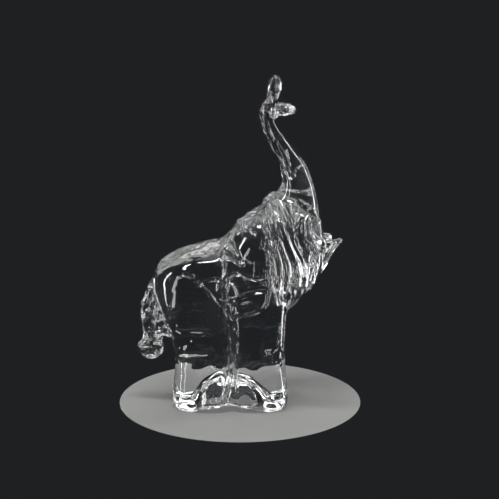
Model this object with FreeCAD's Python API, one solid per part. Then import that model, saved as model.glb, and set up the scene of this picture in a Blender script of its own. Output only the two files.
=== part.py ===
"""Clear crystal elephant with its trunk raised, a solid hot-worked glass figurine.

The figure is a stack of glass gathers joined hot: four legs under a torso, a neck and head, a drawn
trunk with two pinched fingers at its end, a pulled lower jaw with two short tusks, two tooled ears, and
a twisted tail that is stuck to the hind legs and ends in a curled tuft. Neighbouring gathers meet face
to face. Nothing moves.

Frame: +X is the way the elephant faces, +Y is its left side and +Z is up. The origin is the centre of
the figure's bounding box in X and Y, at the level of the four ground feet. Lengths are in millimetres.
"""
import FreeCAD
import Part
import math
import os
from FreeCAD import Vector

# Driving dimensions
FIGURE_HEIGHT = 182.5    # feet to the tip of the trunk's upper finger
LEG_HEIGHT = 68.0        # feet to the joint between legs and torso
BLOCK_LENGTH = 60.6      # hind leg's back face to foreleg's front face
BLOCK_WIDTH = 42.0       # right leg's flank to left leg's flank
BOX_CENTRE_X = 5.43      # centre of the bounding box ahead of the centre of the leg block

# The hollow under the belly and the shallow arches that leave four feet
DOME_HALF_LENGTH = 21.0
DOME_HALF_WIDTH = 15.0
DOME_HEIGHT = 19.0
SIDE_ARCH_SPAN = 40.0
SIDE_ARCH_RISE = 3.2
END_ARCH_SPAN = 17.0
END_ARCH_RISE = 5.0

# The upright grooves between the legs
FLANK_GROOVE_RADIUS = 5.0
FLANK_GROOVE_DEPTH = 2.6
END_GROOVE_RADIUS = 4.5
END_GROOVE_DEPTH = 2.4
FLANK_GROOVE_TOP = 60.0  # height of the grooves' round upper ends
END_GROOVE_TOP = 36.0

# The two oblique joints: torso to neck, and head to trunk
NECK_JOINT = (Vector(-6.6, 0, 90.2), Vector(30.5, 0, 66.0))
TRUNK_JOINT = (Vector(36.6, 0, 118.5), 93.0)   # a point on it, and the trunk's direction there, degrees

RING_POINTS = 24
SEAM_TURN = 0.9          # radians, keeps the seams of round cutters off the planes between the legs
BIG = 400.0              # larger than the figure

UP = Vector(0, 0, 1)
FORWARD = Vector(1, 0, 0)
LEFT = Vector(0, 1, 0)

SIDES = {"right": -1, "left": 1}


def signed_power(value, power):
    return math.copysign(abs(value) ** power, value)


def ring(centre, u, v, half_u, half_v, power=2.0):
    """A closed smooth outline round centre: an ellipse at power 2, and boxier the higher the power."""
    points = []
    for i in range(RING_POINTS):
        angle = 2 * math.pi * (i + 0.5) / RING_POINTS    # no point, and no seam, on a dividing plane
        along_u = half_u * signed_power(math.cos(angle), 2 / power)
        along_v = half_v * signed_power(math.sin(angle), 2 / power)
        points.append(centre + u * along_u + v * along_v)
    curve = Part.BSplineCurve()
    curve.interpolate(Points=points, PeriodicFlag=True)
    return Part.Wire([curve.toShape()])


def loft(wires):
    solid = Part.makeLoft(wires, True, False)
    return solid if solid.Volume > 0 else solid.reversed()


def along_path(stations, power=2.0):
    """A solid through outlines square to a path in the XZ plane.

    A station is (x, z, half thickness in the plane, half width in Y), with y as a fifth value where the
    path leaves the middle plane.
    """
    centres = [Vector(s[0], s[4] if len(s) > 4 else 0, s[1]) for s in stations]
    wires = []
    for i, station in enumerate(stations):
        before = centres[max(i - 1, 0)]
        after = centres[min(i + 1, len(stations) - 1)]
        heading = after - before
        heading.y = 0
        heading.normalize()
        normal = Vector(-heading.z, 0, heading.x)
        wires.append(ring(centres[i], normal, LEFT, station[2], station[3], power))
    return loft(wires)


def beyond(point, normal):
    """A block that fills the space on the side of a plane that its normal points to."""
    block = Part.makeBox(BIG, BIG, BIG, Vector(-BIG / 2, -BIG / 2, 0))
    block.Placement = FreeCAD.Placement(point, FreeCAD.Rotation(UP, normal))
    return block


def ellipsoid(centre, half_x, half_y, half_z):
    matrix = FreeCAD.Matrix()
    matrix.rotateZ(SEAM_TURN)
    matrix.scale(half_x, half_y, half_z)
    solid = Part.makeSphere(1.0).transformGeometry(matrix)
    solid.translate(centre)
    return solid


def neck_normal():
    """Unit normal of the neck joint, pointing up and forward into the neck."""
    line = NECK_JOINT[1] - NECK_JOINT[0]
    return Vector(-line.z, 0, line.x).normalize()


def trunk_direction():
    angle = math.radians(TRUNK_JOINT[1])
    return Vector(math.cos(angle), 0, math.sin(angle))


def body_gather():
    """Legs and torso before they are divided, as level outlines from the feet to the back."""
    half_length = BLOCK_LENGTH / 2
    half_width = BLOCK_WIDTH / 2
    # height, rear end, front end, half width, boxiness
    levels = [
        (0, -half_length, half_length, half_width - 0.6, 5.0),
        (4, -half_length - 0.8, half_length + 0.8, half_width + 0.5, 5.0),
        (13, -half_length, half_length + 0.2, half_width - 0.2, 5.0),
        (38, -half_length - 0.8, half_length - 0.1, half_width - 0.4, 4.6),
        (48, -half_length - 3.9, half_length + 0.4, half_width, 4.2),
        (58, -half_length - 8.2, half_length + 1.2, half_width + 0.7, 3.6),
        (LEG_HEIGHT, -half_length - 10.4, half_length + 2.0, half_width + 1.2, 3.2),
        (75, -half_length - 9.6, half_length + 2.6, half_width + 0.6, 3.0),
        (81.4, -half_length - 4.2, half_length + 2.8, half_width - 1.6, 2.8),
        (86.6, -22.5, half_length + 1.0, half_width - 5.4, 2.6),
        (89.6, -14.0, half_length - 6.0, half_width - 9.6, 2.4),
        (91.0, -8.0, half_length - 14.0, half_width - 14.4, 2.2),
    ]
    wires = []
    for height, rear, front, width, power in levels:
        centre = Vector((rear + front) / 2, 0, height)
        wires.append(ring(centre, FORWARD, LEFT, (front - rear) / 2, width, power))
    return loft(wires)


def groove(at, outward, radius, depth, top):
    """An upright groove with a round upper end, cut into the face at that point."""
    axis_point = at + outward * (radius - depth)
    shaft = Part.makeCylinder(radius, top + radius, axis_point - UP * radius, UP)
    solid = shaft.fuse(Part.makeSphere(radius, axis_point + UP * top))
    solid.rotate(axis_point, UP, math.degrees(SEAM_TURN))
    return solid


def arch(span, rise, axis):
    """A long cylinder under the feet whose crown stands rise above the floor over that span."""
    radius = ((span / 2) ** 2 + rise ** 2) / (2 * rise)
    return Part.makeCylinder(radius, BIG, UP * (rise - radius) - axis * (BIG / 2), axis)


def leg_cutters():
    half_length = Vector(BLOCK_LENGTH / 2, 0, 0)
    half_width = Vector(0, BLOCK_WIDTH / 2, 0)
    return [
        ellipsoid(Vector(0, 0, 0), DOME_HALF_LENGTH, DOME_HALF_WIDTH, DOME_HEIGHT),
        arch(SIDE_ARCH_SPAN, SIDE_ARCH_RISE, LEFT),
        arch(END_ARCH_SPAN, END_ARCH_RISE, FORWARD),
        groove(half_width, LEFT, FLANK_GROOVE_RADIUS, FLANK_GROOVE_DEPTH, FLANK_GROOVE_TOP),
        groove(-half_width, -LEFT, FLANK_GROOVE_RADIUS, FLANK_GROOVE_DEPTH, FLANK_GROOVE_TOP),
        groove(half_length, FORWARD, END_GROOVE_RADIUS, END_GROOVE_DEPTH, END_GROOVE_TOP),
        groove(-half_length, -FORWARD, END_GROOVE_RADIUS, END_GROOVE_DEPTH, END_GROOVE_TOP),
    ]


def make_torso_and_legs():
    """The torso, and the four legs as quarters of the block below it."""
    neck_side = beyond(NECK_JOINT[0], neck_normal())
    gather = body_gather().cut(neck_side)
    above_legs = beyond(UP * LEG_HEIGHT, UP)
    nodes = {"torso": gather.common(above_legs)}
    block = gather.cut(above_legs)
    for cutter in leg_cutters():
        block = block.cut(cutter)
    for end, forward in (("fore", 1), ("hind", -1)):
        for side, left in SIDES.items():
            quarter = block.common(beyond(Vector(0, 0, 0), FORWARD * forward))
            nodes[f"{end}_leg_{side}"] = quarter.common(beyond(Vector(0, 0, 0), LEFT * left))
    return nodes


def make_head_and_trunk():
    """One drawn gather from the neck to the end of the trunk, divided at the neck and trunk joints."""
    stations = [
        (7.5, 68.5, 23.6, 20.5),
        (15.6, 77.4, 24.1, 21.0),
        (23.2, 86.8, 24.0, 20.0),
        (29.6, 96.2, 21.8, 17.6),
        (33.2, 106.0, 15.8, 14.0),
        (35.6, 114.5, 11.8, 11.0),
        (35.9, 122.7, 8.7, 9.0),
        (33.9, 132.0, 6.6, 7.3),
        (30.6, 139.2, 5.3, 6.1),
        (26.4, 146.0, 4.6, 5.3),
        (22.6, 152.2, 4.0, 4.7),
        (20.2, 157.6, 3.5, 4.2),
        (19.4, 162.0, 3.2, 4.0),
        (20.3, 165.6, 3.2, 4.0),
    ]
    gather = along_path(stations, power=2.2).common(beyond(NECK_JOINT[0], neck_normal()))
    trunk_side = beyond(TRUNK_JOINT[0], trunk_direction())
    return gather.cut(trunk_side), gather.common(trunk_side)


def make_upper_finger():
    """The leaf-shaped finger that stands up from the end of the trunk."""
    return along_path([
        (20.6, 163.8, 3.2, 3.8),
        (22.2, 166.4, 4.4, 4.2),
        (22.6, 168.2, 3.6, 3.6),
        (22.8, 170.1, 2.5, 2.6),
        (23.1, 172.4, 3.1, 2.5),
        (23.7, 175.4, 3.7, 2.6),
        (24.1, 178.6, 3.4, 2.4),
        (24.3, 181.0, 2.4, 1.8),
        (24.4, FIGURE_HEIGHT, 0.9, 0.8),
    ])


def make_lower_finger():
    """The finger that points forward from the end of the trunk."""
    return along_path([
        (19.8, 162.2, 2.6, 3.4),
        (23.4, 162.9, 3.0, 4.0),
        (26.8, 163.5, 3.0, 4.3),
        (30.2, 163.9, 2.8, 4.1),
        (33.2, 163.9, 2.1, 3.1),
        (35.4, 163.7, 0.8, 1.2),
    ])


def make_jaw():
    """The lower jaw, pulled forward to a small lip that turns up."""
    return along_path([
        (30.0, 79.5, 9.0, 9.0),
        (35.0, 79.9, 12.0, 11.0),
        (40.0, 81.4, 12.6, 11.4),
        (46.0, 84.3, 10.0, 9.4),
        (50.6, 87.0, 6.6, 7.0),
        (54.4, 88.8, 3.8, 4.8),
        (57.4, 89.9, 2.1, 3.0),
        (59.4, 91.3, 1.6, 2.2),
        (60.6, 92.8, 0.8, 1.1),
    ])


def make_tusk(side):
    """A short pinched tusk beside the mouth."""
    return along_path([
        (42.0, 89.0, 3.6, 3.0, side * 7.4),
        (47.0, 90.4, 3.2, 2.7, side * 7.4),
        (51.0, 91.3, 2.6, 2.2, side * 7.0),
        (54.0, 92.1, 1.8, 1.6, side * 6.5),
        (55.6, 92.7, 0.8, 0.7, side * 6.2),
    ])


def make_ear(side):
    """A tooled ear: level outlines from its root on the crown to its pointed lobe by the foreleg."""
    # height, middle of the ear in X, half length, distance out from the middle plane, half thickness
    levels = [
        (116.2, 24.8, 3.0, 8.4, 2.2),
        (112.8, 24.6, 6.0, 10.8, 4.0),
        (107.6, 25.2, 8.0, 14.6, 5.0),
        (100.0, 28.4, 7.8, 18.6, 5.6),
        (90.0, 31.4, 8.4, 21.6, 6.0),
        (82.0, 33.6, 10.2, 22.8, 6.2),
        (76.0, 34.4, 10.8, 23.4, 6.0),
        (70.0, 33.6, 8.9, 23.8, 5.4),
        (64.0, 31.8, 5.6, 23.8, 4.2),
        (58.0, 31.2, 1.8, 23.4, 1.6),
    ]
    flare = math.radians(9.0)    # the rear edge stands out from the head
    along = Vector(math.cos(flare), -side * math.sin(flare), 0)
    out = Vector(-along.y, along.x, 0)
    wires = []
    for height, middle, half_length, distance, half_thickness in levels:
        wires.append(ring(Vector(middle, side * distance, height), along, out, half_length, half_thickness))
    return loft(wires)


def make_tail():
    """The tail's twisted strand, from the rump down to the tuft."""
    return along_path([
        (-34.6, 75.2, 2.4, 2.6),
        (-38.0, 71.6, 2.6, 3.0),
        (-40.3, 66.6, 2.7, 3.2),
        (-42.3, 60.6, 3.1, 3.6),
        (-43.5, 54.2, 4.0, 4.4),
        (-43.5, 47.6, 4.6, 4.8),
        (-43.2, 41.6, 4.4, 4.7),
        (-43.2, 36.4, 3.8, 4.2),
    ])


def make_tail_anchor():
    """The dab of glass that sticks the tail to the back of the hind legs."""
    return along_path([
        (-43.0, 43.2, 3.6, 3.4),
        (-40.0, 43.6, 5.4, 4.6),
        (-36.0, 43.6, 6.0, 5.2),
        (-32.0, 42.6, 5.4, 4.8),
        (-28.0, 41.6, 3.6, 3.4),
    ])


def make_tail_tuft():
    """The curled ball at the end of the tail."""
    return ellipsoid(Vector(-43.4, 0, 31.4), 7.0, 6.4, 6.4)


def build():
    """Every node, each cut back to the faces of the neighbours that were made before it."""
    nodes = make_torso_and_legs()
    body = list(nodes.values())
    nodes["head"], nodes["trunk"] = make_head_and_trunk()
    nodes["trunk_upper_finger"] = make_upper_finger().cut(nodes["trunk"])
    lower_finger = make_lower_finger().cut(nodes["trunk"])
    nodes["trunk_lower_finger"] = lower_finger.cut(nodes["trunk_upper_finger"])
    nodes["lower_jaw"] = make_jaw().cut(nodes["head"])
    for name, side in SIDES.items():
        nodes[f"ear_{name}"] = make_ear(side).cut([nodes["head"], nodes["lower_jaw"], *body])
        nodes[f"tusk_{name}"] = make_tusk(side).cut([nodes["head"], nodes["lower_jaw"]])
    nodes["tail"] = make_tail().cut(body)
    nodes["tail_anchor"] = make_tail_anchor().cut([nodes["tail"], *body])
    nodes["tail_tuft"] = make_tail_tuft().cut([nodes["tail"], nodes["tail_anchor"]])
    return nodes


def largest_solid(shape):
    """The piece itself, without any crumb that a cut leaves on the far side of a neighbour."""
    return max(shape.Solids, key=lambda solid: solid.Volume)


def main():
    os.makedirs("parts", exist_ok=True)
    solids = {}
    for name, shape in build().items():
        solid = largest_solid(shape)
        solid.translate(Vector(-BOX_CENTRE_X, 0, 0))
        solids[name] = solid
        solid.exportStep(f"parts/{name}.step")
        dropped = len(shape.Solids) - 1
        print(f"{name}: {solid.Volume / 1000:.2f} cm3, valid {solid.isValid()}, crumbs {dropped}")
    box = Part.makeCompound(list(solids.values())).optimalBoundingBox()
    print(f"X {box.XMin:.2f} to {box.XMax:.2f}, centre {box.Center.x:.2f}")
    print(f"Y {box.YMin:.2f} to {box.YMax:.2f}, Z {box.ZMin:.2f} to {box.ZMax:.2f}")


main()
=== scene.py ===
import math

import bmesh
import bpy
import numpy as np
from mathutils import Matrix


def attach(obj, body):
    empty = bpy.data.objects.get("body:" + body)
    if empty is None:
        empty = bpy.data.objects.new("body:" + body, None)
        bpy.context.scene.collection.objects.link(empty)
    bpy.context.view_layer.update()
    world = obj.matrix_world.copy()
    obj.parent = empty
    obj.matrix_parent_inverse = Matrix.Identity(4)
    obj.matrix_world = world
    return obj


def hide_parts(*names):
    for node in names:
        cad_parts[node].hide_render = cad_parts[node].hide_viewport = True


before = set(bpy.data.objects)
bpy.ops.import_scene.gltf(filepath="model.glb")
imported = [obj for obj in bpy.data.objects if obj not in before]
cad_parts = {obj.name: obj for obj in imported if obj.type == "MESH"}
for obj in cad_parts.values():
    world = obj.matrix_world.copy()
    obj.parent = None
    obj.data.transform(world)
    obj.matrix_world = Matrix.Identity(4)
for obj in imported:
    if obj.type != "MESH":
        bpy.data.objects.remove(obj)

import openvdb as vdb
from mathutils import Vector

for start_object in ("Cube", "Light", "Camera"):
    if start_object in bpy.data.objects:
        bpy.data.objects.remove(bpy.data.objects[start_object])

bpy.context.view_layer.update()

# ---------------------------------------------------------------- sizes, in millimetres
MM = 0.001
VOXEL = 0.6
BAND = 8                     # half width of every distance field, in voxels
MARGIN = 6.0                 # empty space round the figure in the fields
FILLET = 1.3                 # radius of the concave fillets between hot gathers
SOFTEN = 0.75                # standard deviation of the final softening
KEEP_OUT = 3.0               # how far a piece's region reaches beyond its CAD solid
HALF_DEPTH = 32.0            # a little more than the figure reaches to each side
REGAIN = 0.2                 # gives back what the last softening takes off the outline
FLOOR_LEVEL = 0.0            # the feet are cut flat here
CRUMB = 2.0                  # loose shells under this many cubic millimetres are dropped
BUBBLE = -0.5                # and a shell under this volume is the inside of a bubble, which stays
HUGE = 400.0                 # size of the block that cuts along a plane
SAME_POINT = 0.0001          # cut corners closer than this are one corner


def node_mesh(name):
    """Vertices in millimetres in the row frame, and triangles, of one CAD node."""
    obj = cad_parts[name]
    mesh = obj.data
    mesh.calc_loop_triangles()
    points = np.empty(len(mesh.vertices) * 3, np.float32)
    mesh.vertices.foreach_get("co", points)
    points = points.reshape(-1, 3)
    matrix = np.array(obj.matrix_world, np.float32)
    points = (points @ matrix[:3, :3].T + matrix[:3, 3]) / MM
    triangles = np.empty(len(mesh.loop_triangles) * 3, np.int32)
    mesh.loop_triangles.foreach_get("vertices", triangles)
    return points, triangles.reshape(-1, 3)


NODES = list(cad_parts)
MESHES = {name: node_mesh(name) for name in NODES}
LOW = np.min([m[0].min(axis=0) for m in MESHES.values()], axis=0)
HIGH = np.max([m[0].max(axis=0) for m in MESHES.values()], axis=0)
ORIGIN = np.floor((LOW - MARGIN) / VOXEL).astype(int)
SHAPE = np.ceil((HIGH + MARGIN) / VOXEL).astype(int) - ORIGIN
TRANSFORM = vdb.createLinearTransform(voxelSize=VOXEL)
AXES = [(np.arange(SHAPE[i]) + ORIGIN[i]) * VOXEL for i in range(3)]
X = AXES[0].astype(np.float32)[:, None, None]
Y = AXES[1].astype(np.float32)[None, :, None]
Z = AXES[2].astype(np.float32)[None, None, :]


# ---------------------------------------------------------------- distance fields
def field(points, triangles, quads=None):
    """Signed distance in millimetres, negative inside, as a dense array."""
    grid = vdb.FloatGrid.createLevelSetFromPolygons(
        np.ascontiguousarray(points, np.float32),
        triangles=np.ascontiguousarray(triangles, np.uint32) if triangles is not None else None,
        quads=np.ascontiguousarray(quads, np.uint32) if quads is not None else None,
        transform=TRANSFORM, halfWidth=BAND)
    dense = np.empty(tuple(SHAPE), np.float32)
    grid.copyToArray(dense, ijk=tuple(int(i) for i in ORIGIN))
    return dense


def surface(dense, level=0.0):
    """Points and quads of the surface where the field has that value."""
    grid = vdb.FloatGrid(BAND * VOXEL)
    grid.transform = TRANSFORM
    grid.copyFromArray(np.ascontiguousarray(dense, np.float32), ijk=tuple(int(i) for i in ORIGIN))
    return grid.convertToQuads(isovalue=level)


def soften(dense, deviation):
    """Gaussian smoothing with that standard deviation in millimetres."""
    reach = int(math.ceil(2.5 * deviation / VOXEL))
    offsets = np.arange(-reach, reach + 1)
    weights = np.exp(-0.5 * (offsets * VOXEL / deviation) ** 2)
    weights /= weights.sum()
    for axis in range(3):
        total = np.zeros_like(dense)
        for offset, weight in zip(offsets, weights):
            total += np.roll(dense, offset, axis) * np.float32(weight)
        dense = total
    return dense


FIELDS = {name: field(*MESHES[name]) for name in NODES}


def fused():
    """All gathers as one solid, with round fillets where they meet."""
    union = np.minimum.reduce(list(FIELDS.values()))
    points, quads = surface(union, FILLET)
    closed = field(points, None, quads) + np.float32(FILLET)
    return soften(closed, SOFTEN)


D = fused()


# ---------------------------------------------------------------- hand-worked surface detail
def node_box(name):
    points = MESHES[name][0]
    return points.min(axis=0), points.max(axis=0)


LEG_TOP = node_box("fore_leg_right")[1][2]
LEG_SPLIT = node_box("fore_leg_right")[0][0]          # the plane between the fore and hind legs


def step(t):
    t = np.clip(t, 0, 1)
    return t * t * (3 - 2 * t)


def window(t, low, high, soft):
    """1 between low and high, fading to 0 over soft outside them."""
    return step((t - low + soft) / soft) * step((high + soft - t) / soft)


def bump(t, deviation):
    return np.exp(-0.5 * (t / deviation) ** 2)


def part_of(low, high):
    """Slices of the fields, and their coordinates, inside a box."""
    cuts = []
    for axis in range(3):
        first = int(np.searchsorted(AXES[axis], low[axis]))
        last = int(np.searchsorted(AXES[axis], high[axis]))
        cuts.append(slice(max(first, 0), max(last, 1)))
    return tuple(cuts), X[cuts[0]], Y[:, cuts[1]], Z[:, :, cuts[2]]


def waves(x, y, z, count, longest, shortest, seed):
    """Smooth random relief of about unit height, with wavelengths in that range."""
    random = np.random.default_rng(seed)
    total = 0
    for i in range(count):
        heading = random.normal(size=3)
        heading /= np.linalg.norm(heading)
        length = longest * (shortest / longest) ** (i / max(count - 1, 1))
        scale = 2 * math.pi / length
        phase = random.uniform(0, 2 * math.pi)
        along = (heading[0] * x + heading[1] * y + heading[2] * z) * np.float32(scale)
        total = total + np.sin(along + np.float32(phase))
    return total * np.float32(math.sqrt(2 / count))


def crumple(x, y, z, length, seed):
    """Creased relief, from folded waves, of about unit height."""
    shift = waves(x, y, z, 4, 2.2 * length, 1.2 * length, seed) * np.float32(0.35 * length)
    fold = waves(x + shift, y - shift, z + shift, 5, 1.5 * length, 0.8 * length, seed + 1)
    return np.float32(1.0) - np.float32(1.6) * np.abs(fold)


def raise_surface(cuts, height):
    D[cuts] -= height.astype(np.float32)


def add_waviness():
    everywhere, x, y, z = part_of(LOW - MARGIN, HIGH + MARGIN)
    slow = waves(x, y, z, 7, 34.0, 13.0, 11) * np.float32(0.2)
    legs = window(z, 6.0, LEG_TOP, 6.0)
    brushed = waves(x, 0.5 * y, 3.0 * z, 6, 24.0, 9.0, 12) * np.float32(0.07) * legs
    above_feet = step(z / 3.0)
    raise_surface(everywhere, (slow + brushed) * above_feet)


def distance_to_path(x, z, path):
    """Distance in the XZ plane to a path of straight runs, with its corners rounded a little."""
    nearest = 1e3
    for (x0, z0), (x1, z1) in zip(path, path[1:]):
        run = (x1 - x0) ** 2 + (z1 - z0) ** 2
        t = np.clip(((x - x0) * (x1 - x0) + (z - z0) * (z1 - z0)) / run, 0, 1)
        nearest = np.minimum(nearest, np.hypot(x - x0 - t * (x1 - x0), z - z0 - t * (z1 - z0)))
    return nearest


def smooth_path(points):
    """More points on a smooth curve through the given ones."""
    points = np.array(points, float)
    ends = np.vstack((2 * points[0] - points[1], points, 2 * points[-1] - points[-2]))
    path = []
    for i in range(1, len(ends) - 2):
        p0, p1, p2, p3 = ends[i - 1:i + 3]
        for t in (0, 0.34, 0.67):
            path.append(0.5 * (2 * p1 + (p2 - p0) * t + (2 * p0 - 5 * p1 + 4 * p2 - p3) * t ** 2
                               + (3 * p1 - p0 - 3 * p2 + p3) * t ** 3))
    path.append(ends[-2])
    return path


def crease(side, depth, width, points, flat=False):
    """A narrow crease on one flank, along a curve given as (forward of the leg split, height).

    Its walls are round or flat, and it fades out at its ends and towards the middle plane.
    """
    path = [(LEG_SPLIT + px, pz) for px, pz in smooth_path(points)]
    xs, zs = [p[0] for p in path], [p[1] for p in path]
    reach = 4 * width
    low = (min(xs) - reach, min(0, side * HALF_DEPTH), min(zs) - reach)
    high = (max(xs) + reach, max(0, side * HALF_DEPTH), max(zs) + reach)
    cuts, x, y, z = part_of(low, high)
    away = distance_to_path(x, z, path)
    start = np.hypot(x - xs[0], z - zs[0])
    end = np.hypot(x - xs[-1], z - zs[-1])
    fade = step(np.minimum(start, end) / 2.5 + 0.3)
    lips = 0.3 * bump(away - 2.2 * width, 0.8 * width)
    near = step((side * y - 2.0) / 3.0)
    trough = np.clip(1 - away / width, 0, 1) if flat else bump(away, width) - lips
    raise_surface(cuts, -depth * trough * fade * near)


def add_tool_marks():
    """Short level marks of the jacks on the flanks of the legs."""
    marks = [
        # side, middle forward of the leg split, height, half length, depth, slope
        (-1, -19.0, 57.5, 8.0, 0.45, 0.05),
        (-1, -19.5, 46.6, 8.8, 0.8, 0.03),
        (-1, -18.5, 33.5, 7.5, 0.5, 0.08),
        (-1, 12.0, 48.6, 5.0, 0.5, -0.05),
        (-1, 13.5, 51.6, 4.0, 0.4, 0.0),
        (-1, -17.0, 63.5, 5.0, 0.3, 0.02),
        (1, -18.0, 52.0, 8.0, 0.5, 0.04),
        (1, -15.0, 38.5, 7.0, 0.6, -0.04),
        (1, 14.0, 55.0, 7.0, 0.5, 0.05),
        (1, 12.0, 41.0, 6.0, 0.4, 0.0),
    ]
    width = 0.75
    for side, middle, height, half_length, depth, slope in marks:
        line = []
        for t in (-1, -0.5, 0, 0.5, 1):
            wobble = 0.25 * math.cos(5 * t)
            line.append((middle + t * half_length, height + slope * t * half_length + wobble))
        crease(side, depth, width, line)


def add_gather_creases():
    """Creases where one gather of glass ends on the next, on both flanks."""
    waist = [(-24.5, 78.0), (-20.3, 76.9), (-16.5, 73.0), (-13.2, 74.1), (-9.5, 75.7), (-5.7, 75.7),
             (-3.5, 73.0), (-1.8, 75.8), (0.8, 78.0), (5.1, 79.1), (9.0, 77.0), (14.0, 76.2), (19.0, 77.0)]
    thigh = [(-16.5, 73.0), (-12.8, 69.8), (-9.5, 65.7), (-6.6, 61.6), (-4.0, 57.6), (-1.6, 53.0)]
    cleft = [(-3.5, 73.0), (-4.2, 66.0), (-3.6, 59.0), (-1.8, 53.4), (-0.3, 46.1), (1.2, 35.0), (1.9, 24.0),
             (1.0, 15.0), (-0.8, 6.0)]
    elbow = [(-3.0, 62.6), (2.0, 64.8), (7.8, 67.4), (13.0, 68.4), (18.6, 69.2)]
    forearm = [(0.8, 53.4), (5.5, 54.8), (10.5, 56.2), (15.0, 57.4), (18.2, 59.4), (20.4, 63.4), (20.8, 70.0)]
    crease(-1, 1.5, 0.66, waist)
    crease(-1, 1.3, 0.66, thigh)
    crease(-1, 1.2, 0.66, elbow)
    crease(-1, 1.0, 0.62, forearm)
    crease(-1, 2.0, 0.85, cleft)
    crease(-1, 1.1, 2.0, cleft[1:-1])
    crease(-1, 1.3, 1.3, [(px - 2.8, pz) for px, pz in cleft[2:]], flat=True)
    for depth, width, points in ((0.6, 0.8, waist), (1.2, 0.9, cleft)):
        crease(1, depth, width, [(0.9 * px + 1.2 * math.sin(0.21 * pz), pz - 1.2) for px, pz in points])


def add_neck_facets():
    """Three creases that meet in a Y on the side of the neck, and the nub left on the nape."""
    fork = (0.9, 92.4)
    for depth, end in ((1.3, (4.2, 101.0)), (1.7, (-3.6, 87.4)), (1.7, (6.2, 83.6))):
        middle = (0.5 * (fork[0] + end[0]) + 0.5, 0.5 * (fork[1] + end[1]))
        crease(-1, depth, 2.0, [fork, middle, end], True)
    crease(-1, 1.2, 0.7, [(-3.6, 87.4), (0.8, 86.6), (6.2, 83.6)])
    crease(-1, 1.2, 0.66, [(19.7, 98.7), (17.8, 96.0), (18.4, 93.0), (21.0, 91.6), (23.4, 93.0)])
    centre = np.array((LEG_SPLIT + 5.0, 0.0, 102.4))
    cuts, x, y, z = part_of(centre - 6, centre + 6)
    away = np.sqrt((x - centre[0]) ** 2 + (y + 1.0) ** 2 + (z - centre[2]) ** 2)
    raise_surface(cuts, 1.1 * bump(away, 1.5))


def add_specks():
    """Small pits along the back."""
    random = np.random.default_rng(7)
    for i in range(16):
        centre = np.array((LEG_SPLIT - 24 + 1.35 * i, random.uniform(-13, 6), 0.0))
        low = (centre[0] - 3, centre[1] - 3, LEG_TOP + 4)
        high = (centre[0] + 3, centre[1] + 3, HIGH[2] * 0.55)
        cuts, x, y, z = part_of(low, high)
        away = np.hypot(x - centre[0], y - centre[1])
        raise_surface(cuts, -random.uniform(0.2, 0.45) * bump(away, random.uniform(0.7, 1.0)))


def profile(name, axis_along, steps):
    """Middle and half size of a node along the other axes, at even steps along one axis."""
    points = MESHES[name][0]
    along = points[:, axis_along]
    at = np.linspace(along.min(), along.max(), steps)
    reach = (at[1] - at[0]) * 0.75
    low, high = [], []
    for value in at:
        slab = points[np.abs(along - value) < reach]
        low.append(slab.min(axis=0))
        high.append(slab.max(axis=0))
    return at, (np.array(low) + np.array(high)) / 2, (np.array(high) - np.array(low)) / 2


EAR_FOLDS = (
    # place across the ear (-1 is its rear edge, 1 its front edge), depth, width
    (-0.74, 1.5, 1.0),
    (-0.34, 2.1, 1.1),
    (0.02, 1.4, 0.9),
    (0.36, 2.1, 1.1),
    (0.70, 1.6, 1.0),
)


def add_ear_folds(name, side):
    """A fan of long folds pressed into the outside of an ear, from the crown to the lobe."""
    low, high = node_box(name)
    at, middle, half = profile(name, 2, 16)
    cuts, x, y, z = part_of(low - 4, high + 4)
    mid_x = np.interp(z, at, middle[:, 0])
    half_x = np.maximum(np.interp(z, at, half[:, 0]), 3.0)
    across = (x - mid_x) / half_x
    fall = (z - low[2]) / (high[2] - low[2])
    bend = 0.10 * np.sin(5.0 * fall + side) + 0.03 * np.sin(17.0 * fall)
    height = 0
    lit = 1.0 if side < 0 else 0.5
    deeper = 1.0 + 0.35 * step((fall - 0.55) / 0.2)
    for line, depth, width in EAR_FOLDS:
        height = height - depth * deeper * bump((across - line - bend) * half_x, width)
    streaks = waves(across * 9.0, 0.2 * y, 0.05 * z, 3, 8.0, 5.0, 31 + side) * np.float32(0.25)
    outside = step((side * y - np.interp(z, at, side * middle[:, 1]) + 3.0) / 3.0)
    ends = window(fall, 0.05, 0.98, 0.05)
    raise_surface(cuts, lit * (height + 0.7 + streaks) * outside * ends)


def add_wrinkles(low, high, length, height, seed, soft=4.0, stretch=(1.0, 1.0, 1.0), creased=0.0, aside=0.0):
    """Uneven glass inside a box, fading out round it.

    Its relief is drawn out along the axes of small stretch. Within about aside of the middle plane the
    glass keeps its outline.
    """
    cuts, x, y, z = part_of(np.subtract(low, soft), np.add(high, soft))
    inside = window(x, low[0], high[0], soft)
    inside = inside * window(y, low[1], high[1], soft)
    inside = inside * window(z, low[2], high[2], soft)
    place = (stretch[0] * x, stretch[1] * y, stretch[2] * z)
    relief = (1 - creased) * waves(*place, 6, 1.5 * length, 0.75 * length, seed)
    if creased:
        relief = relief + creased * crumple(*place, length, seed)
    if aside:
        relief = relief * step((np.abs(y) - 0.4 * aside) / aside)
    raise_surface(cuts, height * relief * inside)


def add_trunk_creases():
    """Long drawn creases down the sides of the trunk."""
    for side in (-1, 1):
        crease(side, 1.1, 0.7, [(19.4, 160.0), (20.6, 153.6), (24.0, 146.0), (27.6, 139.4), (29.8, 135.6)])
        crease(side, 1.0, 0.66, [(27.0, 149.6), (25.2, 148.0), (26.4, 144.4), (28.2, 140.6), (29.8, 135.6)])
        crease(side, 1.0, 0.66, [(29.8, 135.6), (30.6, 131.8), (32.4, 128.4), (34.4, 130.0), (34.6, 132.6)])


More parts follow.
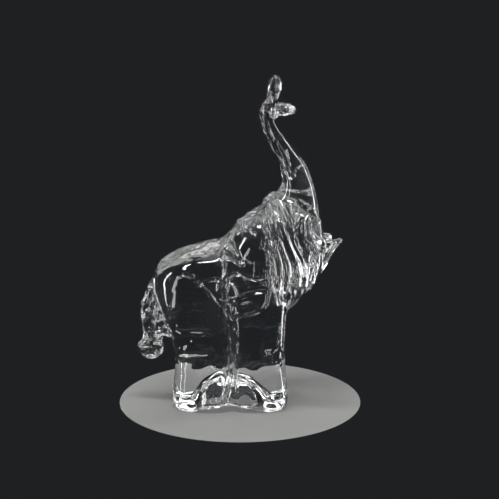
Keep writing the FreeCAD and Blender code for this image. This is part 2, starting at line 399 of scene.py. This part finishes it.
def add_finger_marks():
    """The marks of the tweezers on both fingers at the end of the trunk."""
    for name, seed in (("trunk_upper_finger", 51), ("trunk_lower_finger", 52)):
        low, high = node_box(name)
        add_wrinkles(low, high, 3.2, 0.8, seed, 1.5, (1.0, 0.5, 0.8), 0.4, 1.2)


def add_twist():
    """Three strands wound round the tail, and a wound-up ball at its end."""
    low, high = node_box("tail")
    at, middle, half = profile("tail", 2, 14)
    cuts, x, y, z = part_of(low - 3, high + 3)
    mid_x = np.interp(z, at, middle[:, 0])
    angle = np.arctan2(y, x - mid_x)
    turn = angle * 3 + z * (2 * math.pi / 9.0) + 0.8 * np.sin(0.35 * z)
    strand = 0.8 * np.abs(np.cos(0.5 * turn)) - 0.5
    fine = 0.3 * np.cos(angle * 7 - z * 0.5)
    raise_surface(cuts, 1.25 * (strand + fine) * window(z, low[2] + 1, high[2] - 7, 3.0))
    low, high = node_box("tail_tuft")
    centre = (low + high) / 2
    cuts, x, y, z = part_of(low - 2, high + 2)
    reach = np.sqrt((x - centre[0]) ** 2 + y ** 2 + (z - centre[2]) ** 2) + 0.01
    polar = np.arccos(np.clip(y / reach, -1, 1))
    angle = np.arctan2(z - centre[2], x - centre[0])
    curl = 0.9 * np.abs(np.cos(1.5 * angle + polar * 3.0)) - 0.55
    raise_surface(cuts, curl * window(reach, 3.0, 9.0, 2.0))


def add_bubbles():
    """Seed bubbles caught in the glass."""
    bubbles = [
        (LEG_SPLIT - 20.0, -9.0, 39.0, 1.1),
        (LEG_SPLIT - 21.6, -13.0, 6.6, 1.0),
        (LEG_SPLIT - 9.0, 6.0, 79.0, 0.9),
    ]
    for x0, y0, z0, radius in bubbles:
        centre = np.array((x0, y0, z0))
        cuts, x, y, z = part_of(centre - 4, centre + 4)
        away = np.sqrt((x - x0) ** 2 + (y - y0) ** 2 + (z - z0) ** 2)
        D[cuts] = np.maximum(D[cuts], radius - away)


add_waviness()
add_tool_marks()
add_gather_creases()
add_neck_facets()
add_specks()
for ear, ear_side in (("ear_right", -1), ("ear_left", 1)):
    add_ear_folds(ear, ear_side)
add_wrinkles((LEG_SPLIT + 37, -20, 76), (LEG_SPLIT + 48, 0, 108), 8.0, 1.6, 41,
             stretch=(1.0, 0.7, 0.7), aside=4.0)
add_wrinkles((LEG_SPLIT + 37, 2, 76), (LEG_SPLIT + 48, 20, 100), 9.5, 0.8, 44,
             stretch=(1.0, 0.7, 0.6), aside=4.0)
add_wrinkles((LEG_SPLIT + 10, -16, 100), (LEG_SPLIT + 24, 4, 108), 7.0, 0.55, 42, 3.0, (0.8, 0.8, 1.0), 0.3)
add_wrinkles(node_box("tail_anchor")[0], node_box("tail_anchor")[1], 5.0, 0.6, 43, 1.5, (0.6, 1.0, 1.0), 0.3)
add_trunk_creases()
add_finger_marks()
add_twist()
add_wrinkles(node_box("tail_tuft")[0], node_box("tail_tuft")[1], 5.0, 0.7, 45, 1.5, creased=0.3, aside=2.5)
add_bubbles()
D = np.maximum(soften(D, 0.5 * SOFTEN) - REGAIN, FLOOR_LEVEL - Z)
for axis_index, limit_low, limit_high in ((0, LOW[0], HIGH[0]), (1, LOW[1], HIGH[1]), (2, LOW[2], HIGH[2])):
    along_axis = (X, Y, Z)[axis_index]
    D = np.maximum(D, np.maximum(along_axis - limit_high, limit_low - along_axis))


# ---------------------------------------------------------------- materials
def new_material(name):
    material = bpy.data.materials.new(name)
    material.use_nodes = True
    nodes = material.node_tree.nodes
    return material, nodes, material.node_tree.links, nodes["Principled BSDF"]


def make_glass():
    """Clear crystal glass: fire-polished, faintly wavy, satin where the feet were ground."""
    material, nodes, links, shader = new_material("clear_crystal")
    shader.inputs["Base Color"].default_value = (0.985, 0.995, 1.0, 1.0)
    shader.inputs["Transmission Weight"].default_value = 1.0
    shader.inputs["IOR"].default_value = 1.53
    place = nodes.new("ShaderNodeTexCoord")
    ripple = nodes.new("ShaderNodeTexNoise")
    ripple.inputs["Scale"].default_value = 260.0
    ripple.inputs["Detail"].default_value = 3.0
    links.new(place.outputs["Object"], ripple.inputs["Vector"])
    bump_node = nodes.new("ShaderNodeBump")
    bump_node.inputs["Strength"].default_value = 0.10
    bump_node.inputs["Distance"].default_value = 0.0004
    links.new(ripple.outputs["Fac"], bump_node.inputs["Height"])
    links.new(bump_node.outputs["Normal"], shader.inputs["Normal"])
    height = nodes.new("ShaderNodeSeparateXYZ")
    links.new(place.outputs["Object"], height.inputs["Vector"])
    ground = nodes.new("ShaderNodeMapRange")
    ground.inputs["From Min"].default_value = 0.0003
    ground.inputs["From Max"].default_value = 0.0008
    ground.inputs["To Min"].default_value = 0.34
    ground.inputs["To Max"].default_value = 0.0
    links.new(height.outputs["Z"], ground.inputs["Value"])
    wear = nodes.new("ShaderNodeTexNoise")
    wear.inputs["Scale"].default_value = 70.0
    wear.inputs["Detail"].default_value = 4.0
    links.new(place.outputs["Object"], wear.inputs["Vector"])
    film = nodes.new("ShaderNodeMapRange")
    film.inputs["From Min"].default_value = 0.35
    film.inputs["From Max"].default_value = 0.75
    film.inputs["To Min"].default_value = 0.005
    film.inputs["To Max"].default_value = 0.05
    links.new(wear.outputs["Fac"], film.inputs["Value"])
    rough = nodes.new("ShaderNodeMath")
    rough.operation = "ADD"
    links.new(ground.outputs["Result"], rough.inputs[0])
    links.new(film.outputs["Result"], rough.inputs[1])
    links.new(rough.outputs["Value"], shader.inputs["Roughness"])
    return material


def make_joint():
    """Where two gathers are fused there is no surface to see."""
    material, _, _, shader = new_material("fused_joint")
    shader.inputs["Base Color"].default_value = (1.0, 1.0, 1.0, 1.0)
    shader.inputs["Alpha"].default_value = 0.0
    return material


GLASS = make_glass()
JOINT = make_joint()


# ---------------------------------------------------------------- dividing the glass into its pieces
def gradient(points):
    """Unit direction out of the fused glass at each point."""
    result = np.empty_like(points)
    for axis in range(3):
        shift = np.zeros(3, np.float32)
        shift[axis] = VOXEL * 0.6
        result[:, axis] = sample(points + shift) - sample(points - shift)
    return result / np.maximum(np.linalg.norm(result, axis=1, keepdims=True), 1e-6)


def sample(points):
    """The fused field at each point, in between the stored values."""
    place = points / VOXEL - ORIGIN
    base = np.clip(np.floor(place).astype(int), 0, SHAPE - 2)
    part = (place - base).astype(np.float32)
    total = np.zeros(len(points), np.float32)
    for i in (0, 1):
        for j in (0, 1):
            for k in (0, 1):
                weight = np.abs(1 - i - part[:, 0]) * np.abs(1 - j - part[:, 1]) * np.abs(1 - k - part[:, 2])
                total += weight * D[base[:, 0] + i, base[:, 1] + j, base[:, 2] + k]
    return total


def make_object(name, points, faces, material):
    mesh = bpy.data.meshes.new(name)
    mesh.materials.append(material)
    mesh.vertices.add(len(points))
    mesh.vertices.foreach_set("co", np.asarray(points, np.float32).ravel())
    faces = np.asarray(faces, np.int32)
    mesh.loops.add(faces.size)
    mesh.loops.foreach_set("vertex_index", faces.ravel())
    mesh.polygons.add(len(faces))
    mesh.polygons.foreach_set("loop_start", np.arange(0, faces.size, faces.shape[1], dtype=np.int32))
    mesh.update(calc_edges=True)
    mesh.validate()
    obj = bpy.data.objects.new(name, mesh)
    bpy.context.collection.objects.link(obj)
    return obj


def region_of(name):
    """A closed region round one node: all that is nearer to it than to any other, and not far from it."""
    others = np.minimum.reduce([FIELDS[n] for n in NODES if n != name])
    mine = FIELDS[name]
    points, quads = surface(np.maximum((mine - others) / 2, mine - KEEP_OUT))
    return make_object("cut_" + name, points, quads, JOINT)


def half_space(point, normal):
    """A big block on the side of a plane that its normal points to."""
    corners = [(x, y, z) for x in (-1, 1) for y in (-1, 1) for z in (0, 2)]
    faces = [(0, 1, 3, 2), (4, 6, 7, 5), (0, 4, 5, 1), (2, 3, 7, 6), (0, 2, 6, 4), (1, 5, 7, 3)]
    turn = Vector(normal).to_track_quat("Z", "Y").to_matrix()
    points = [tuple(turn @ (Vector(c) * HUGE) + Vector(point)) for c in corners]
    return make_object("cut_plane", points, faces, JOINT)


def combine(obj, cutter, operation):
    modifier = obj.modifiers.new("cut", "BOOLEAN")
    modifier.solver = "MANIFOLD"
    modifier.material_mode = "TRANSFER"
    modifier.operation = operation
    modifier.object = cutter
    depsgraph = bpy.context.evaluated_depsgraph_get()
    mesh = bpy.data.meshes.new_from_object(obj.evaluated_get(depsgraph))
    obj.modifiers.clear()
    return mesh


def take(rest, cutter, name):
    """Cuts the region out of the rest and returns it as an object of its own."""
    piece = bpy.data.objects.new(name, combine(rest, cutter, "INTERSECT"))
    bpy.context.collection.objects.link(piece)
    rest.data = combine(rest, cutter, "DIFFERENCE")
    bpy.data.objects.remove(cutter)
    return piece


def drop_crumbs(obj):
    """Removes small loose shells. Bubbles stay."""
    bm = bmesh.new()
    bm.from_mesh(obj.data)
    bm.verts.ensure_lookup_table()
    seen = set()
    doomed = []
    for start in bm.verts:
        if start in seen:
            continue
        shell = [start]
        seen.add(start)
        faces = set()
        for vertex in shell:
            for face in vertex.link_faces:
                faces.add(face)
            for edge in vertex.link_edges:
                other = edge.other_vert(vertex)
                if other not in seen:
                    seen.add(other)
                    shell.append(other)
        volume = 0.0
        for face in faces:
            a = face.verts[0].co
            for i in range(1, len(face.verts) - 1):
                volume += a.dot(face.verts[i].co.cross(face.verts[i + 1].co)) / 6
        if BUBBLE < volume < CRUMB:
            doomed.extend(shell)
    bmesh.ops.delete(bm, geom=doomed, context="VERTS")
    bm.to_mesh(obj.data)
    bm.free()


def mend(bm):
    """Mends most of what the cuts leave along their edges: doubled faces, and small holes."""
    groups = {}
    for face in bm.faces:
        groups.setdefault(frozenset(face.verts), []).append(face)
    fins = [face for group in groups.values() for face in group[:len(group) // 2 * 2]]
    bmesh.ops.delete(bm, geom=fins, context="FACES")
    bmesh.ops.holes_fill(bm, edges=[edge for edge in bm.edges if len(edge.link_faces) == 1], sides=0)
    bmesh.ops.triangulate(bm, faces=[face for face in bm.faces if len(face.verts) > 3])
    bmesh.ops.delete(bm, geom=[vertex for vertex in bm.verts if not vertex.link_faces], context="VERTS")


def finish_piece(obj):
    """Scales the piece to metres, and gives its outside the true direction of the glass.

    Joint faces stay flat.
    """
    mesh = obj.data
    bm = bmesh.new()
    bm.from_mesh(mesh)
    bmesh.ops.remove_doubles(bm, verts=bm.verts, dist=SAME_POINT)
    bmesh.ops.triangulate(bm, faces=bm.faces[:], quad_method="FIXED")
    mend(bm)
    bm.to_mesh(mesh)
    bm.free()
    mesh.validate()
    points = np.empty(len(mesh.vertices) * 3, np.float32)
    mesh.vertices.foreach_get("co", points)
    points = points.reshape(-1, 3)
    flat = np.empty(len(mesh.polygons) * 3, np.float32)
    mesh.polygons.foreach_get("normal", flat)
    flat = flat.reshape(-1, 3)
    used = np.empty(len(mesh.polygons), np.int32)
    mesh.polygons.foreach_get("material_index", used)
    joint = np.array([material == JOINT for material in mesh.materials])[used]
    mesh.polygons.foreach_set("use_smooth", np.ones(len(mesh.polygons), bool))
    outward = gradient(points)
    corner_vertex = np.empty(len(mesh.loops), np.int32)
    mesh.loops.foreach_get("vertex_index", corner_vertex)
    totals = np.empty(len(mesh.polygons), np.int32)
    mesh.polygons.foreach_get("loop_total", totals)
    corner_face = np.repeat(np.arange(len(mesh.polygons)), totals)
    normals = outward[corner_vertex]
    on_joint = joint[corner_face]
    normals[on_joint] = flat[corner_face[on_joint]]
    mesh.vertices.foreach_set("co", (points * MM).ravel())
    mesh.update()
    mesh.normals_split_custom_set(normals.tolist())


def build_pieces():
    points, quads = surface(D)
    rest = make_object("rest", points, quads, GLASS)
    pieces = {}
    for name in SMALL_NODES:
        pieces[name] = take(rest, region_of(name), name)
    pieces["trunk"] = take(rest, half_space(*TRUNK_PLANE), "trunk")
    pieces["head"] = take(rest, half_space(*NECK_PLANE), "head")
    pieces["torso"] = take(rest, half_space((0, 0, LEG_TOP), (0, 0, 1)), "torso")
    fore = take(rest, half_space((LEG_SPLIT, 0, 0), (1, 0, 0)), "fore")
    for end, block in (("fore", fore), ("hind", rest)):
        pieces[end + "_leg_left"] = take(block, half_space((0, 0, 0), (0, 1, 0)), end + "_leg_left")
        pieces[end + "_leg_right"] = block
    return pieces


def shared_plane(first, second):
    """The flat joint between two neighbouring nodes: a point on it, and its normal into the second."""
    near, far = FIELDS[first], FIELDS[second]
    place = np.argwhere((np.abs(near + far) < 0.01) & (np.abs(near) < 2 * VOXEL))
    points = (place + ORIGIN) * VOXEL
    values = near[tuple(place.T)]
    design = np.hstack((points, np.ones((len(points), 1))))
    fit = np.linalg.lstsq(design, values, rcond=None)[0]
    normal = fit[:3] / np.linalg.norm(fit[:3])
    middle = points.mean(axis=0)
    return tuple(middle - normal * (fit[:3] @ middle + fit[3])), tuple(normal)


SMALL_NODES = ("ear_right", "ear_left", "tusk_right", "tusk_left", "lower_jaw", "trunk_upper_finger",
               "trunk_lower_finger", "tail_tuft", "tail_anchor", "tail")
NECK_PLANE = shared_plane("torso", "head")
TRUNK_PLANE = shared_plane("head", "trunk")
PIECES = build_pieces()
for node, piece in PIECES.items():
    drop_crumbs(piece)
    finish_piece(piece)
    piece.name = node + "_glass"
    piece.data.name = node + "_glass"
    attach(piece, "root")
    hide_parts(node)


# ---------------------------------------------------------------- floor, lights and camera
def make_floor(radius, around=96):
    """A plain round table top just under the feet."""
    material, _, _, shader = new_material("floor")
    shader.inputs["Base Color"].default_value = (0.25, 0.25, 0.245, 1.0)
    shader.inputs["Roughness"].default_value = 0.8
    points = [(0, 0, -FLOOR_GAP)]
    for i in range(around):
        angle = 2 * math.pi * i / around
        points.append((radius * math.cos(angle), radius * math.sin(angle), -FLOOR_GAP))
    faces = [(0, i + 1, (i + 1) % around + 1) for i in range(around)]
    make_object("floor", points, faces, material)


def area_light(name, place, aim, width, height, power):
    light = bpy.data.lights.new(name, "AREA")
    light.shape = "RECTANGLE"
    light.size = width
    light.size_y = height
    light.energy = power
    obj = bpy.data.objects.new(name, light)
    bpy.context.collection.objects.link(obj)
    obj.location = place
    obj.rotation_euler = (Vector(aim) - Vector(place)).to_track_quat("-Z", "Y").to_euler()
    obj.visible_camera = False


FLOOR_GAP = 0.00005          # keeps the floor clear of the ground feet
FLOOR_RADIUS = 0.066
make_floor(FLOOR_RADIUS)

world = bpy.data.worlds.new("studio")
bpy.context.scene.world = world
world.use_nodes = True
world.node_tree.nodes["Background"].inputs["Color"].default_value = (0.013, 0.0145, 0.016, 1.0)
world.node_tree.nodes["Background"].inputs["Strength"].default_value = 1.0

MIDDLE = (0.0, 0.0, 0.09)
area_light("side_left", (-0.80, -0.22, 0.16), MIDDLE, 0.08, 0.90, 4.6)
area_light("side_right", (0.80, 0.20, 0.16), MIDDLE, 0.10, 0.90, 5.4)
area_light("front_left", (-0.85, -0.85, 0.08), MIDDLE, 0.16, 1.10, 4.0)
area_light("overhead", (0.05, 0.05, 0.85), MIDDLE, 0.80, 0.55, 2.4)
area_light("overhead_strip", (-0.10, -0.25, 0.85), MIDDLE, 0.60, 0.06, 4.8)
area_light("back_top", (0.05, 0.60, 0.60), MIDDLE, 0.70, 0.22, 1.5)

VIEW_ELEVATION = math.radians(16.0)
VIEW_DISTANCE = 1.4
FRAME_WIDTH = 0.2695         # what the picture spans at the figure
SENSOR_WIDTH = 36.0
AIM = Vector((0.0052, 0.0, 0.0863))
camera_data = bpy.data.cameras.new("camera")
camera_data.sensor_width = SENSOR_WIDTH
camera_data.lens = SENSOR_WIDTH * VIEW_DISTANCE / FRAME_WIDTH
camera = bpy.data.objects.new("camera", camera_data)
bpy.context.collection.objects.link(camera)
away = Vector((0, -math.cos(VIEW_ELEVATION), math.sin(VIEW_ELEVATION)))
camera.location = AIM + away * VIEW_DISTANCE
camera.rotation_euler = (-away).to_track_quat("-Z", "Y").to_euler()
bpy.context.scene.camera = camera

scene = bpy.context.scene
scene.cycles.max_bounces = 24
scene.cycles.transmission_bounces = 24
scene.cycles.glossy_bounces = 8
scene.cycles.transparent_max_bounces = 64
scene.view_settings.view_transform = "Standard"
